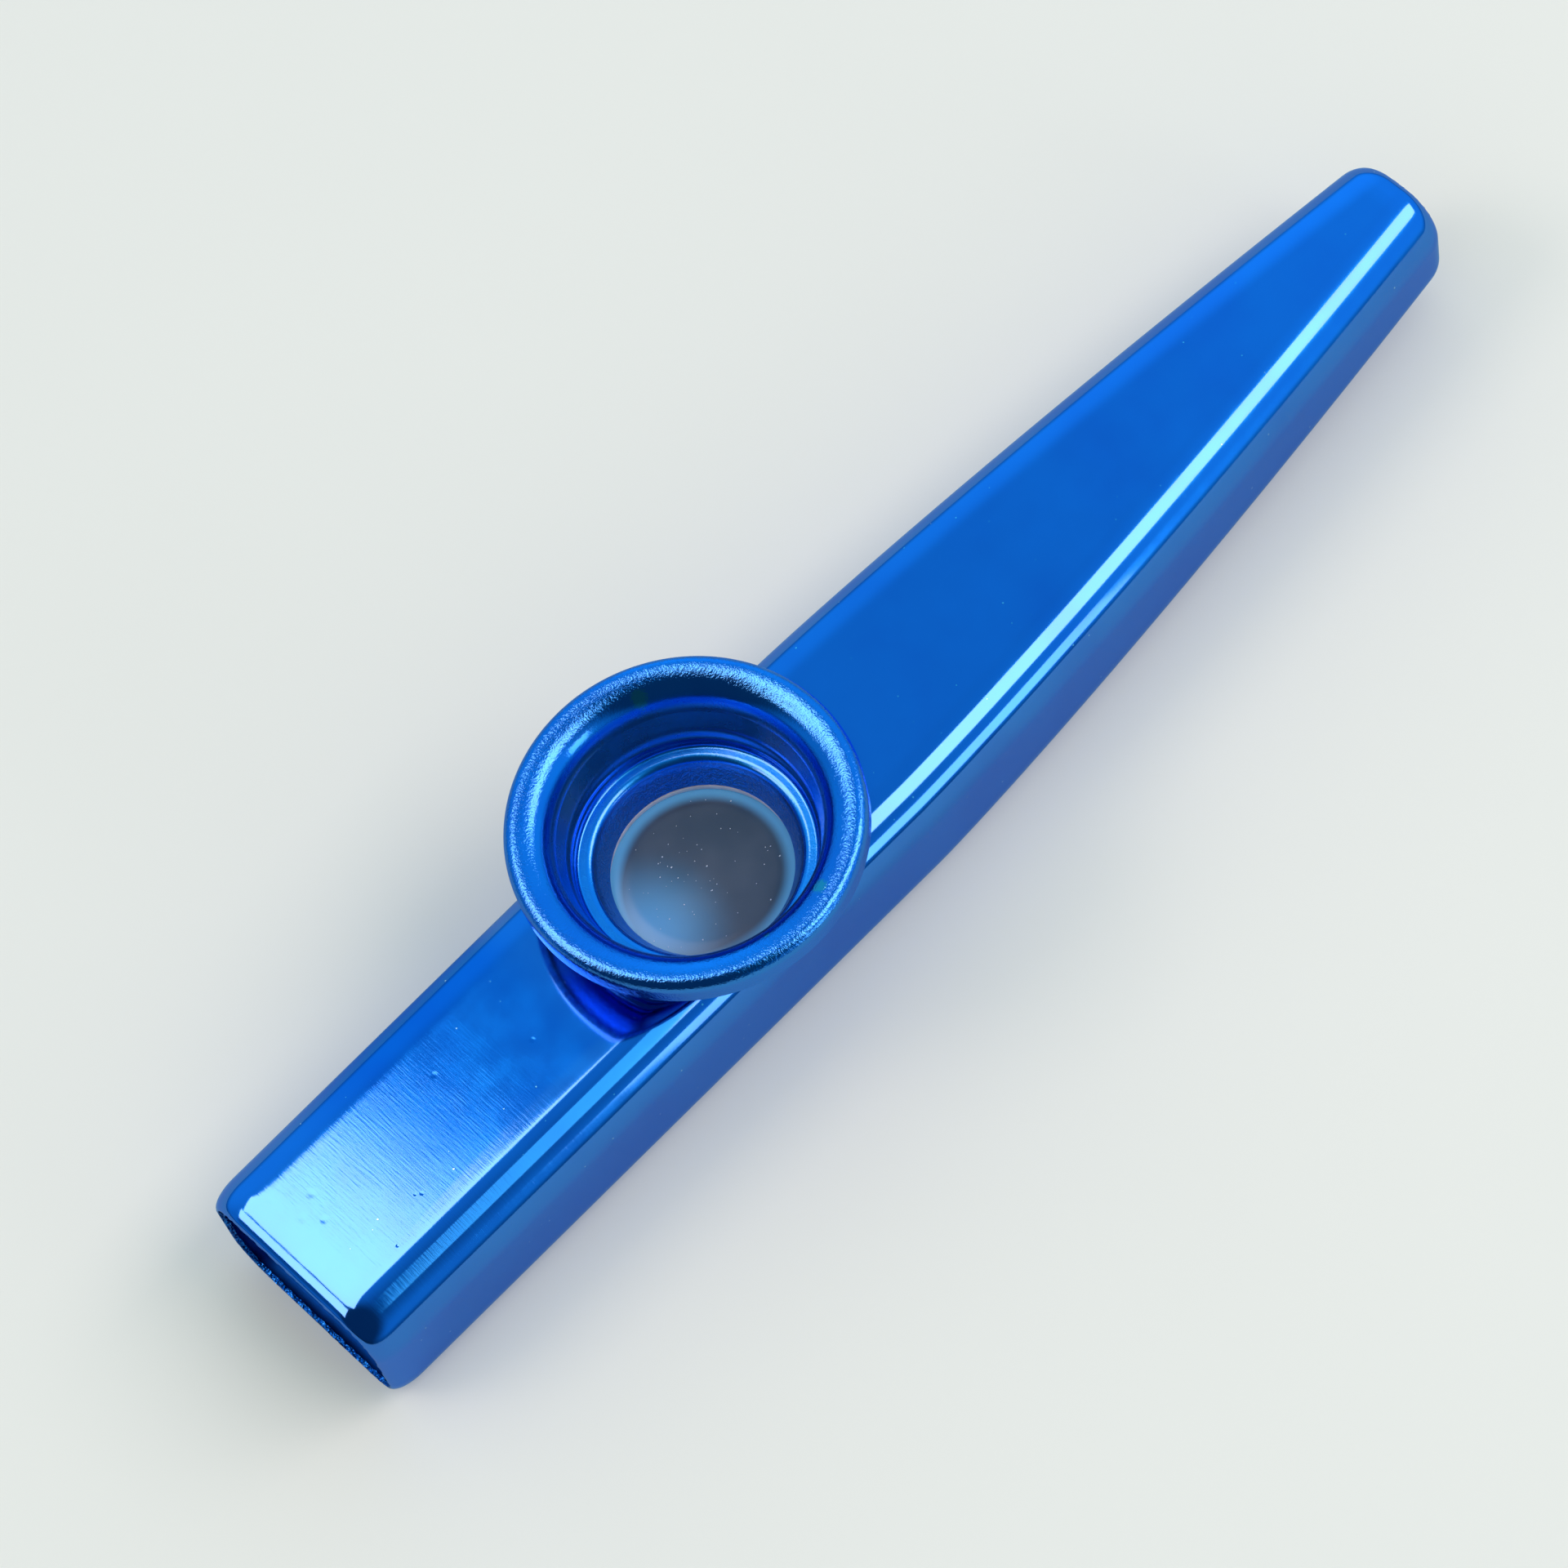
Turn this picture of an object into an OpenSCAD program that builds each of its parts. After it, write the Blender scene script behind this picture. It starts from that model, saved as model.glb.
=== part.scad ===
// Metal kazoo: a drawn tube that is flat at the mouth and narrow at the far end,
// with a round socket on top and a flared cap that screws down on the membrane.
// X runs along the tube, from the mouth at -X to the narrow end at +X. Z is up.
// The origin is on the table, under the middle of the tube. Sizes are in millimetres.

/* [Tube] */
// Length of the tube, end to end
tube_length = 120; // [100:1:150]
// Width of the tube at the mouth
mouth_width = 18.8; // [17.5:0.1:22]
// Width of the tube where the taper starts
tube_width = 19.2; // [18.5:0.1:23]
// Height of the straight part
tube_height = 13; // [12:0.1:16]
// Corner radius of the straight part
corner_radius = 4; // [2.5:0.1:5]
// Thickness of the tube's wall
tube_wall = 0.7; // [0.5:0.05:0.9]
// Length of the taper, measured back from the narrow end
taper_length = 62.8; // [50:0.1:66]
// How the taper speeds up: 1 is a straight cone, more is a softer start
taper_power = 1.4; // [1:0.05:1.8]
// Width of the narrow end
end_width = 9; // [8:0.1:12]
// Height of the narrow end, measured down from the level top line
end_height = 10.8; // [9.5:0.1:12]

/* [Lips] */
// How far the lip at the mouth turns in
mouth_curl = 0.95; // [0.6:0.05:1.2]
// Length over which the mouth's lip turns in
mouth_curl_length = 2.5; // [1.6:0.1:3.5]
// How far the lip at the narrow end turns in
end_curl = 1.8; // [1:0.05:2]
// Length over which the narrow end's lip turns in
end_curl_length = 4; // [2.5:0.1:5]

/* [Socket] */
// Distance from the mouth to the turret's axis
turret_place = 42.8; // [34:0.1:48]
// Thickness of the socket's sheet
socket_wall = 0.4; // [0.3:0.05:0.6]
// Height of the socket above the tube
socket_rise = 5.3; // [4.2:0.1:5.6]
// Radius of the bend at the foot of the socket
socket_bend = 1.4; // [0.8:0.1:1.6]
// Depth of the membrane's ledge below the top of the tube
seat_depth = 2.55; // [2.2:0.05:3.5]
// Width of the ledge under the membrane
ledge_width = 2; // [1.4:0.1:2.6]

/* [Membrane] */
// Thickness of the gasket on the ledge
gasket_thickness = 0.3; // [0.2:0.05:0.6]
// Thickness of the film
film_thickness = 0.1; // [0.05:0.01:0.2]
// Height of the ring that holds the film
ring_height = 0.55; // [0.4:0.05:0.8]
// Width of the ring's band
ring_width = 1.1; // [0.8:0.05:1.3]

/* [Cap] */
// Radius of the window over the membrane
window_radius = 6.9; // [6:0.05:7]
// How much wider the nose is at its top than at the window
nose_spread = 0.8; // [0.5:0.05:0.85]
// Thickness of the cap's sheet
cap_wall = 0.45; // [0.35:0.05:0.6]
// Width of the shoulder between the nose and the neck
shoulder_width = 1.35; // [1.2:0.05:1.6]
// Radius of the two bends beside the shoulder
shoulder_bend = 0.5; // [0.4:0.05:0.55]
// Inner radius of the throat, where the flare starts
throat_radius = 9.92; // [9.3:0.01:10.4]
// Height of the throat above the tube
throat_rise = 5.05; // [4:0.05:6]
// Outer radius of the rim
rim_radius = 13.45; // [12.6:0.05:15]
// Height of the rim's top above the tube
rim_rise = 7.8; // [7:0.1:9]
// Radius at which the rim rolls over
rim_roll = 0.65; // [0.5:0.05:0.9]
// Length of the skirt that hangs from the rim's roll
skirt_length = 1.3; // [0.8:0.1:1.5]

/* [Fits] */
// Gap between the tube's hole and the socket in it
hole_gap = 0.05; // [0.02:0.01:0.1]
// Gap round the cap's nose in the socket
nose_gap = 0.25; // [0.2:0.05:0.35]
// Gap between the cap's neck and the socket, which the thread fills
thread_gap = 0.28; // [0.2:0.01:0.5]
// Gap under the cap's shoulder
shoulder_gap = 0.2; // [0.15:0.05:0.4]
// Gap between the cap's nose and the membrane's ring
press_gap = 0.05; // [0.02:0.01:0.15]
// Gap between the loose rings and the socket round them
ring_gap = 0.2; // [0.1:0.05:0.3]

/* [Hidden] */
blue = "#0f62c9";
deep_blue = "#0a4fae";
white_plastic = "#ddd5d2";
film_grey = "#5a6878";
gasket_grey = "#3a3d40";

// Pieces of a full circle for the turned parts
round_steps = 96;
// Pieces of one corner of the tube, of a lip and of the taper
corner_steps = 8;
lip_steps = 5;
taper_steps = 14;
// Pieces of one bend in a drawn sheet
bend_steps = 5;
// Share of the half width that the corners may take at the narrow end
end_corner_share = 0.95;
// Extra length of a cut, as a share of what it cuts
overrun_share = 0.5;

half_length = tube_length / 2;
turret_x = turret_place - half_length;
taper_start = half_length - taper_length;
end_floor = tube_height - end_height;

// Heights at the membrane, from its ledge up to the foot of the cap
seat_z = tube_height - seat_depth;
film_z = seat_z + gasket_thickness;
ring_z = film_z + film_thickness;
nose_z = ring_z + ring_height + press_gap;

// Middle line of the cap's sheet
half_wall = cap_wall / 2;
window_r = window_radius + half_wall;
nose_r = window_r + nose_spread;
neck_r = nose_r + shoulder_width;
throat_r = throat_radius + half_wall;
rim_r = rim_radius - half_wall;
shoulder_z = tube_height + socket_wall + shoulder_gap + half_wall;
throat_z = tube_height + throat_rise;
rim_z = tube_height + rim_rise - half_wall;

// The nose leans in, so the outer corner of its cut edge hangs lower than the middle line
nose_height = shoulder_z - shoulder_bend - nose_z;
nose_drop = half_wall * nose_spread / norm([nose_spread, nose_height]);

// Radii of the socket: its bore round the nose, and its collar round the neck
bore_r = nose_r + half_wall + nose_gap;
bore_outer_r = bore_r + socket_wall;
collar_r = max(throat_r, neck_r) + half_wall + thread_gap;
loose_r = bore_r - ring_gap;

// Share of the way from the straight part to the narrow end
function taper_share(x) = pow(max(0, (x - taper_start) / taper_length), taper_power);
function mix(a, b, share) = a + (b - a) * share;
function width_at(x) = x < taper_start
    ? mix(mouth_width, tube_width, (x + half_length) / (taper_start + half_length))
    : mix(tube_width, end_width, taper_share(x));
function floor_at(x) = mix(0, end_floor, taper_share(x));
function corner_at(x) = mix(corner_radius, end_width / 2 * end_corner_share, taper_share(x));

// One ring of points round the tube at x, drawn in by inset on every side
function tube_ring(x, inset) =
    let (r = corner_at(x) - inset,
         y = width_at(x) / 2 - inset - r,
         low = floor_at(x) + inset + r,
         high = tube_height - inset - r)
    [for (corner = [[y, high, 0], [-y, high, 90], [-y, low, 180], [y, low, 270]])
        for (i = [0 : corner_steps])
            let (a = corner[2] + 90 * i / corner_steps)
            [x, corner[0] + r * cos(a), corner[1] + r * sin(a)]];

// A lip turns in along a quarter of an ellipse. Each point is [x, inset, and the
// outward direction along x and across], for side -1 at the mouth and 1 at the end.
function lip(side, length, depth) =
    [for (i = [0 : lip_steps])
        let (a = 90 * i / lip_steps,
             slope = norm([depth * sin(a), length * cos(a)]))
        [side * (half_length - length * (1 - sin(a))), depth * (1 - cos(a)),
         side * depth * sin(a) / slope, length * cos(a) / slope]];

function backwards(list) = [for (i = [len(list) - 1 : -1 : 0]) list[i]];

taper_run = taper_length - end_curl_length;
profile = concat(
    backwards(lip(-1, mouth_curl_length, mouth_curl)),
    [for (i = [0 : taper_steps - 1]) [taper_start + taper_run * i / taper_steps, 0, 0, 1]],
    lip(1, end_curl_length, end_curl));
outer_rings = [for (p = profile) tube_ring(p[0], p[1])];
inner_rings = [for (p = backwards(profile)) tube_ring(p[0] - tube_wall * p[2], p[1] + tube_wall * p[3])];

// A closed skin over rings of equal length, where the last ring joins the first
module ring_skin(rings) {
    count = len(rings);
    size = len(rings[0]);
    polyhedron(
        points = [for (ring = rings) each ring],
        faces = [for (i = [0 : count - 1], j = [0 : size - 1])
            let (a = i * size + j,
                 b = i * size + (j + 1) % size,
                 c = ((i + 1) % count) * size + (j + 1) % size,
                 d = ((i + 1) % count) * size + j)
            each [[a, b, c], [a, c, d]]]);
}

// Drawn sheet: the outline of a middle line that is given a thickness
function unit(v) = v / norm(v);
function sheet_normal(line, i) =
    let (before = unit(line[max(i, 1)] - line[max(i, 1) - 1]),
         after = unit(line[min(i, len(line) - 2) + 1] - line[min(i, len(line) - 2)]),
         middle = unit(before + after))
    [-middle[1], middle[0]] / (middle * before);
function sheet_outline(line, wall) = concat(
    [for (i = [0 : len(line) - 1]) line[i] + sheet_normal(line, i) * wall / 2],
    [for (i = [len(line) - 1 : -1 : 0]) line[i] - sheet_normal(line, i) * wall / 2]);
function bend(centre, rx, rz, from, to, steps) =
    [for (i = [0 : steps])
        let (a = from + (to - from) * i / steps)
        centre + [rx * cos(a), rz * sin(a)]];

// From the skirt over the rolled rim, down the flare and the neck, and in to the window
cap_line = concat(
    [[rim_r, rim_z - rim_roll - skirt_length]],
    bend([rim_r - rim_roll, rim_z - rim_roll], rim_roll, rim_roll, 0, 90, bend_steps),
    bend([rim_r - rim_roll, throat_z], rim_r - rim_roll - throat_r, rim_z - throat_z, 105, 180, 2 * bend_steps),
    bend([neck_r - shoulder_bend, shoulder_z + shoulder_bend], shoulder_bend, shoulder_bend, 0, -90, bend_steps),
    bend([nose_r + shoulder_bend, shoulder_z - shoulder_bend], shoulder_bend, shoulder_bend, 90, 165, bend_steps),
    [[window_r, nose_z + nose_drop]]);

// From the collar's top, in at the foot, and down through the tube to the ledge
socket_half = socket_wall / 2;
socket_foot_z = tube_height + socket_half;
socket_line = concat(
    [[collar_r + socket_half, tube_height + socket_rise]],
    bend([collar_r + socket_half - socket_bend, socket_foot_z + socket_bend],
         socket_bend, socket_bend, 0, -90, bend_steps),
    [[bore_r + socket_half, socket_foot_z],
     [bore_r + socket_half, seat_z - socket_half],
     [bore_r - ledge_width, seat_z - socket_half]]);

module turned(line, wall) {
    translate([turret_x, 0, 0])
        rotate_extrude($fn = round_steps)
            polygon(sheet_outline(line, wall));
}

module band(outer, inner, low, height) {
    translate([turret_x, 0, low])
        difference() {
            cylinder(r = outer, h = height, $fn = round_steps);
            translate([0, 0, -height * overrun_share])
                cylinder(r = inner, h = height * (1 + 2 * overrun_share), $fn = round_steps);
        }
}

module body_tube() {
    color(blue)
        difference() {
            ring_skin(concat(outer_rings, inner_rings));
            translate([turret_x, 0, tube_height / 2])
                cylinder(r = bore_outer_r + hole_gap, h = tube_height, $fn = round_steps);
        }
}

module turret_socket() {
    color(deep_blue)
        turned(socket_line, socket_wall);
}

module seat_gasket() {
    color(gasket_grey)
        band(loose_r, bore_r - ledge_width, seat_z, gasket_thickness);
}

module membrane_film() {
    color(film_grey)
        translate([turret_x, 0, film_z])
            cylinder(r = loose_r, h = film_thickness, $fn = round_steps);
}

module membrane_ring() {
    color(white_plastic)
        band(loose_r, loose_r - ring_width, ring_z, ring_height);
}

module screw_cap() {
    color(blue)
        turned(cap_line, cap_wall);
}

body_tube();
turret_socket();
seat_gasket();
membrane_film();
membrane_ring();
screw_cap();
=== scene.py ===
# %% [markdown]
# A blue metal kazoo
#
# A kazoo is a drawn metal tube. The player hums into the wide, flat mouth, and a thin
# membrane in the round turret buzzes. The membrane lies on a gasket in a socket, a ring
# holds it flat, and a flared cap screws down on top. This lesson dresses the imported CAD
# model: every piece but the hidden gasket is made again with smoother curves and finer
# detail, in the place that the CAD gives it, and each finish is made from nodes.

import math
import random

import bmesh
import bpy
from mathutils import Matrix, Vector


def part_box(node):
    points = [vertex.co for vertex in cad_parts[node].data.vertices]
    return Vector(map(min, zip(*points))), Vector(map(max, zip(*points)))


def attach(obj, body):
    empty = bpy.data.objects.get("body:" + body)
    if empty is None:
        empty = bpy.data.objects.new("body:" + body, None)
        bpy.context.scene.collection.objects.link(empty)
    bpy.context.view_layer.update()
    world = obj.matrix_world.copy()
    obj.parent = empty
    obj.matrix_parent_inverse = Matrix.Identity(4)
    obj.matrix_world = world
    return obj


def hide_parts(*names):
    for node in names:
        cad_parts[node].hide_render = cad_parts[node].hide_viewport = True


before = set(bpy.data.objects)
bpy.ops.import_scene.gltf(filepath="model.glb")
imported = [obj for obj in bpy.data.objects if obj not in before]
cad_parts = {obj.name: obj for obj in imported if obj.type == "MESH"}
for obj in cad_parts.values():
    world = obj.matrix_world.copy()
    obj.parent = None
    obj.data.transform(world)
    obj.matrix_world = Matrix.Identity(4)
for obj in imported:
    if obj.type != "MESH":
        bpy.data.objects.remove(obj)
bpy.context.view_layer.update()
MM = 0.001
print("CAD nodes:", ", ".join(sorted(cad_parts)))

# %% [markdown]
# The main sizes
#
# The CAD nodes give the places. The turret's axis is the middle of the cap's box, and
# the tube's box gives its length, width and height. The few sizes that a box can't give,
# such as the corner's radius and the sheet's thickness, are written here once.

# %% Read the places from the CAD boxes
tube_low, tube_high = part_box("body_tube")
cap_low, cap_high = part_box("screw_cap")
film_low, film_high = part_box("membrane_film")

half_length = tube_high.x / MM
tube_width = (tube_high.y - tube_low.y) / MM
tube_height = tube_high.z / MM
turret_x = (cap_low.x + cap_high.x) / 2 / MM
rim_radius = (cap_high.y - cap_low.y) / 2 / MM
rim_top = cap_high.z / MM
print(f"tube {2 * half_length:.1f} x {tube_width:.1f} x {tube_height:.1f} mm")
print(f"turret at x {turret_x:.1f} mm")

# %% Sizes of the drawn tube, in millimetres
mouth_width = 18.8
corner_radius = 4.0
tube_wall = 0.7
taper_length = 62.8
taper_power = 1.4  # how late the taper bends in
end_width = 9.0
end_floor = 2.2  # how far the floor rises at the narrow end
mouth_curl, mouth_curl_length = 0.95, 2.5  # depth and length of the turned-in lip
end_curl, end_curl_length = 1.1, 1.7
end_draw = 0.8  # how far the narrow end stays inside the CAD's box
thinned_length, thinned_share = 1.2, 0.5  # the sheet thins toward the mouth's cut edge
hole_radius = 8.85
section_corner_steps, section_side_cuts = 22, 30
steps_straight, steps_taper = 40, 56
bar_start = -half_length + mouth_curl_length
taper_start = half_length - taper_length
bar_end = half_length - end_draw - end_curl_length

# %% [markdown]
# Helpers for a mesh piece
#
# A bmesh is Blender's mesh workbench. The pieces are worked in millimetres, because the
# numbers are then easy to read, and are scaled to metres once, at the end. The finished
# object sits at the origin with its place in its mesh, as a CAD node does, and it rides
# on a CAD body, so that it moves when the cap is unscrewed.

# %% Turn a bmesh into a piece
def finish_piece(bm, name, body, replaced, materials):
    bmesh.ops.scale(bm, verts=bm.verts, vec=(MM, MM, MM))
    mesh = bpy.data.meshes.new(name)
    bm.to_mesh(mesh)
    bm.free()
    piece = bpy.data.objects.new(name, mesh)
    bpy.context.scene.collection.objects.link(piece)
    for material in materials:
        mesh.materials.append(material)
    mesh.shade_smooth()
    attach(piece, body)
    if replaced:
        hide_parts(replaced)
    print(f"{name}: {len(mesh.polygons)} faces on body {body}")
    return piece


# %% Run an object's modifiers and keep the result as plain mesh
def with_modifier(bm, kind, **settings):
    mesh = bpy.data.meshes.new("work")
    bm.to_mesh(mesh)
    for _ in range(3):
        mesh.materials.append(None)
    work = bpy.data.objects.new("work", mesh)
    work.vertex_groups.new(name="wall")
    bpy.context.scene.collection.objects.link(work)
    modifier = work.modifiers.new("step", kind)
    for key, value in settings.items():
        setattr(modifier, key, value)
    shown = work.evaluated_get(bpy.context.evaluated_depsgraph_get())
    result = bmesh.new()
    result.from_mesh(shown.to_mesh())
    shown.to_mesh_clear()
    bpy.data.objects.remove(work)
    bpy.data.meshes.remove(mesh)
    bm.free()
    return result


# %% [markdown]
# Node helpers
#
# Materials are graphs of nodes. One helper adds a node and sets its values, so each
# material below reads as a short list. Links are written as (node, "output") pairs. The
# dyed metal's clear lacquer is set in one place, on the shader's own sockets.

# %% Add a node, set its values and link its inputs
def add(tree, kind, inputs=None, **settings):
    node = tree.nodes.new(kind)
    for key, value in settings.items():
        setattr(node, key, value)
    for key, value in (inputs or {}).items():
        if isinstance(value, tuple) and len(value) == 2 and isinstance(value[0], bpy.types.Node):
            tree.links.new(value[0].outputs[value[1]], node.inputs[key])
        else:
            node.inputs[key].default_value = value
    return node


# %% Short forms for sums, smooth ramps and mixed colours
def math_node(tree, operation, first, second=0.0, clamp=False):
    return add(tree, "ShaderNodeMath", {0: first, 1: second}, operation=operation, use_clamp=clamp)


def ramp(tree, value, low, high, start=0.0, end=1.0):
    return add(tree, "ShaderNodeMapRange", {"Value": value, "From Min": low, "From Max": high,
                                            "To Min": start, "To Max": end},
               interpolation_type="SMOOTHSTEP")


def mix_colour(tree, share, first, second):
    node = tree.nodes.new("ShaderNodeMix")
    node.data_type = "RGBA"
    for socket, value in ((0, share), (6, first), (7, second)):
        if isinstance(value, tuple) and isinstance(value[0], bpy.types.Node):
            tree.links.new(value[0].outputs[value[1]], node.inputs[socket])
        else:
            node.inputs[socket].default_value = value
    return node


# %% A new node group and a new material
def new_group(name, inputs, outputs):
    group = bpy.data.node_groups.new(name, "ShaderNodeTree")
    for label, kind, default in inputs:
        socket = group.interface.new_socket(name=label, in_out="INPUT", socket_type=kind)
        socket.default_value = default
    for label, kind in outputs:
        group.interface.new_socket(name=label, in_out="OUTPUT", socket_type=kind)
    return group, group.nodes.new("NodeGroupInput"), group.nodes.new("NodeGroupOutput")


def new_material(name):
    material = bpy.data.materials.new(name)
    material.use_nodes = True
    tree = material.node_tree
    tree.nodes.clear()
    shader = tree.nodes.new("ShaderNodeBsdfPrincipled")
    out = tree.nodes.new("ShaderNodeOutputMaterial")
    tree.links.new(shader.outputs["BSDF"], out.inputs["Surface"])
    return material, tree, shader


# %% The dyed metal's relief and its lacquer
def dyed_metal(tree, shader, bump, lacquer, lacquer_roughness):
    tree.links.new(bump.outputs["Normal"], shader.inputs["Normal"])
    tree.links.new(bump.outputs["Normal"], shader.inputs["Coat Normal"])
    tree.links.new(lacquer.outputs[0], shader.inputs["Coat Weight"])
    shader.inputs["Metallic"].default_value = 1.0
    shader.inputs["Coat Roughness"].default_value = lacquer_roughness
    shader.inputs["Coat IOR"].default_value = 2.3
    shader.inputs["Specular Tint"].default_value = (0.08, 0.5, 1.0, 1)


# %% [markdown]
# Shared effect: dust
#
# Pale specks lie scattered on the tube's glossy metal. Voronoi cells give one random
# point each. Only a few cells keep their speck, and its size varies, so the specks don't
# form a grid. The material hands in its coordinates, and the group puts out a mask, which
# the material paints pale and raises a little.

# %% Dust specks as a node group
dust_group, entry, leave = new_group(
    "dust specks",
    [("Place", "NodeSocketVector", (0, 0, 0)), ("Cells", "NodeSocketFloat", 900.0),
     ("Share", "NodeSocketFloat", 0.1), ("Size", "NodeSocketFloat", 0.1)],
    [("Mask", "NodeSocketFloat")])
cells = add(dust_group, "ShaderNodeTexVoronoi",
            {"Vector": (entry, "Place"), "Scale": (entry, "Cells"), "Randomness": 1.0},
            feature="F1")
lot = add(dust_group, "ShaderNodeSeparateColor", {"Color": (cells, "Color")})
kept = math_node(dust_group, "LESS_THAN", (lot, "Red"), (entry, "Share"))
size = math_node(dust_group, "MULTIPLY", (lot, "Green"), (entry, "Size"))
inside = math_node(dust_group, "LESS_THAN", (cells, "Distance"), (size, "Value"))
speck = math_node(dust_group, "MULTIPLY", (kept, "Value"), (inside, "Value"))
dust_group.links.new(speck.outputs[0], leave.inputs["Mask"])
print("group:", dust_group.name)

# %% [markdown]
# Shared effect: the dyed metal's shade
#
# Anodised aluminium takes its blue in a clear oxide skin, so the colour shifts a little
# from place to place. Slow noise mottles the colour, and a second, finer noise varies
# the roughness where fingers and cloth have touched the metal.

# %% Mottled blue as a node group
shade_group, entry, leave = new_group(
    "mottled dye",
    [("Shade", "NodeSocketColor", (0.01, 0.2, 0.85, 1)),
     ("Deep shade", "NodeSocketColor", (0.005, 0.14, 0.7, 1)),
     ("Roughness", "NodeSocketFloat", 0.16)],
    [("Color", "NodeSocketColor"), ("Roughness", "NodeSocketFloat")])
spot = add(shade_group, "ShaderNodeTexCoord")
slow = add(shade_group, "ShaderNodeTexNoise",
           {"Vector": (spot, "Object"), "Scale": 120.0, "Detail": 3.0})
share = ramp(shade_group, (slow, "Fac"), 0.35, 0.7)
shade = mix_colour(shade_group, (share, "Result"), (entry, "Shade"), (entry, "Deep shade"))
smear = add(shade_group, "ShaderNodeTexNoise",
            {"Vector": (spot, "Object"), "Scale": 420.0, "Detail": 4.0})
spread = ramp(shade_group, (smear, "Fac"), 0.3, 0.75, 0.85, 1.25)
rough = math_node(shade_group, "MULTIPLY", (entry, "Roughness"), (spread, "Result"))
shade_group.links.new(shade.outputs[2], leave.inputs["Color"])
shade_group.links.new(rough.outputs[0], leave.inputs["Roughness"])
print("group:", shade_group.name)

# %% [markdown]
# Finish: the tube's polished metal
#
# The tube is polished and dyed aluminium. Near the mouth it keeps fine marks that run
# across it, from brushing. A noise that is squeezed along the tube makes long thin
# streaks, and a ramp on the x coordinate fades them out toward the turret. Slow waves
# bend the reflections a little, as drawn sheet does, and a few small dents are pressed
# in at chosen places. A clear lacquer lies over the dye. It is worn thin on the top face
# between the mouth and the cap, where the fingers hold the kazoo.

# %% Dents, as (x, y, radius, depth) in millimetres
DENTS = [(-49.6, -3.0, 0.15, 0.008), (-49.2, -3.3, 0.22, 0.008), (-53.2, -4.9, 0.15, 0.018),
         (-56.4, 1.9, 0.55, 0.004), (-55.4, 0.6, 0.45, 0.005), (-54.7, 2.8, 0.5, 0.004),
         (-42.2, 2.7, 0.35, 0.004), (-35.4, -0.8, 0.3, 0.004)]


def dents_height(tree, coordinates):
    total = None
    for x, y, radius, depth in DENTS:
        away = add(tree, "ShaderNodeVectorMath",
                   {0: coordinates, 1: (x * MM, y * MM, tube_height * MM)}, operation="DISTANCE")
        dip = ramp(tree, (away, "Value"), 0.0, radius * MM, -depth, 0.0)
        total = dip if total is None else math_node(tree, "ADD", (total, 0), (dip, 0))
    return total


print("dents:", len(DENTS))

# %% The tube's colour, with dust
tube_metal, tree, shader = new_material("polished blue tube")
dye = add(tree, "ShaderNodeGroup", node_tree=shade_group)
dye.inputs["Shade"].default_value = (0.006, 0.250, 0.800, 1)
dye.inputs["Deep shade"].default_value = (0.005, 0.210, 0.760, 1)
dye.inputs["Roughness"].default_value = 0.10
spot = add(tree, "ShaderNodeTexCoord")
dust = add(tree, "ShaderNodeGroup",
           {"Place": (spot, "Object"), "Cells": 1400.0, "Share": 0.16, "Size": 0.12},
           node_tree=dust_group)
colour = mix_colour(tree, (dust, "Mask"), (dye, "Color"), (0.55, 0.78, 1.0, 1))
tree.links.new(colour.outputs[2], shader.inputs["Base Color"])
print("material:", tube_metal.name)

# %% The tube's roughness and relief: brushing, waves, dents and specks
place = add(tree, "ShaderNodeSeparateXYZ", {"Vector": (spot, "Object")})
handled = ramp(tree, (place, "X"), 5 * MM, 45 * MM, 1.0, 1.6)
rough = math_node(tree, "MULTIPLY", (dye, "Roughness"), (handled, "Result"))
tree.links.new(rough.outputs[0], shader.inputs["Roughness"])
near_mouth = ramp(tree, (place, "X"), -32 * MM, -46 * MM, 0.1, 1.0)
squeeze = add(tree, "ShaderNodeMapping", {"Vector": (spot, "Object"), "Scale": (6400, 480, 480)})
streaks = add(tree, "ShaderNodeTexNoise",
              {"Vector": (squeeze, "Vector"), "Scale": 1.0, "Detail": 3.0, "Roughness": 0.6})
brushing = math_node(tree, "MULTIPLY", (streaks, "Fac"), (near_mouth, "Result"))
brushed = math_node(tree, "MULTIPLY", (brushing, "Value"), 0.0026)
waves = add(tree, "ShaderNodeTexNoise", {"Vector": (spot, "Object"), "Scale": 110.0, "Detail": 2.0})
waved = math_node(tree, "MULTIPLY", (waves, "Fac"), 0.016)
height = math_node(tree, "ADD", (brushed, "Value"), (waved, "Value"))
dents = dents_height(tree, (spot, "Object"))
height = math_node(tree, "ADD", (height, "Value"), (dents, "Value"))
specks = math_node(tree, "MULTIPLY", (dust, "Mask"), 0.01)
height = math_node(tree, "ADD", (height, "Value"), (specks, "Value"))
bump = add(tree, "ShaderNodeBump", {"Height": (height, "Value"), "Strength": 1.0, "Distance": MM})
print("relief of the tube ready")

# %% The tube's lacquer, worn thin between the mouth and the cap
thinning = ramp(tree, (place, "X"), -54 * MM, -43 * MM, 0.64, 0.22)
thickening = ramp(tree, (place, "X"), -34 * MM, -30 * MM, 0.22, 0.64)
near_edge = ramp(tree, (place, "Y"), -4.0 * MM, -4.8 * MM, 0.22, 0.64)
lacquer = math_node(tree, "MAXIMUM", (thinning, "Result"), (thickening, "Result"))
lacquer = math_node(tree, "MAXIMUM", (lacquer, "Value"), (near_edge, "Result"))
dyed_metal(tree, shader, bump, lacquer, 0.06)
print("lacquer of the tube ready")

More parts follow.
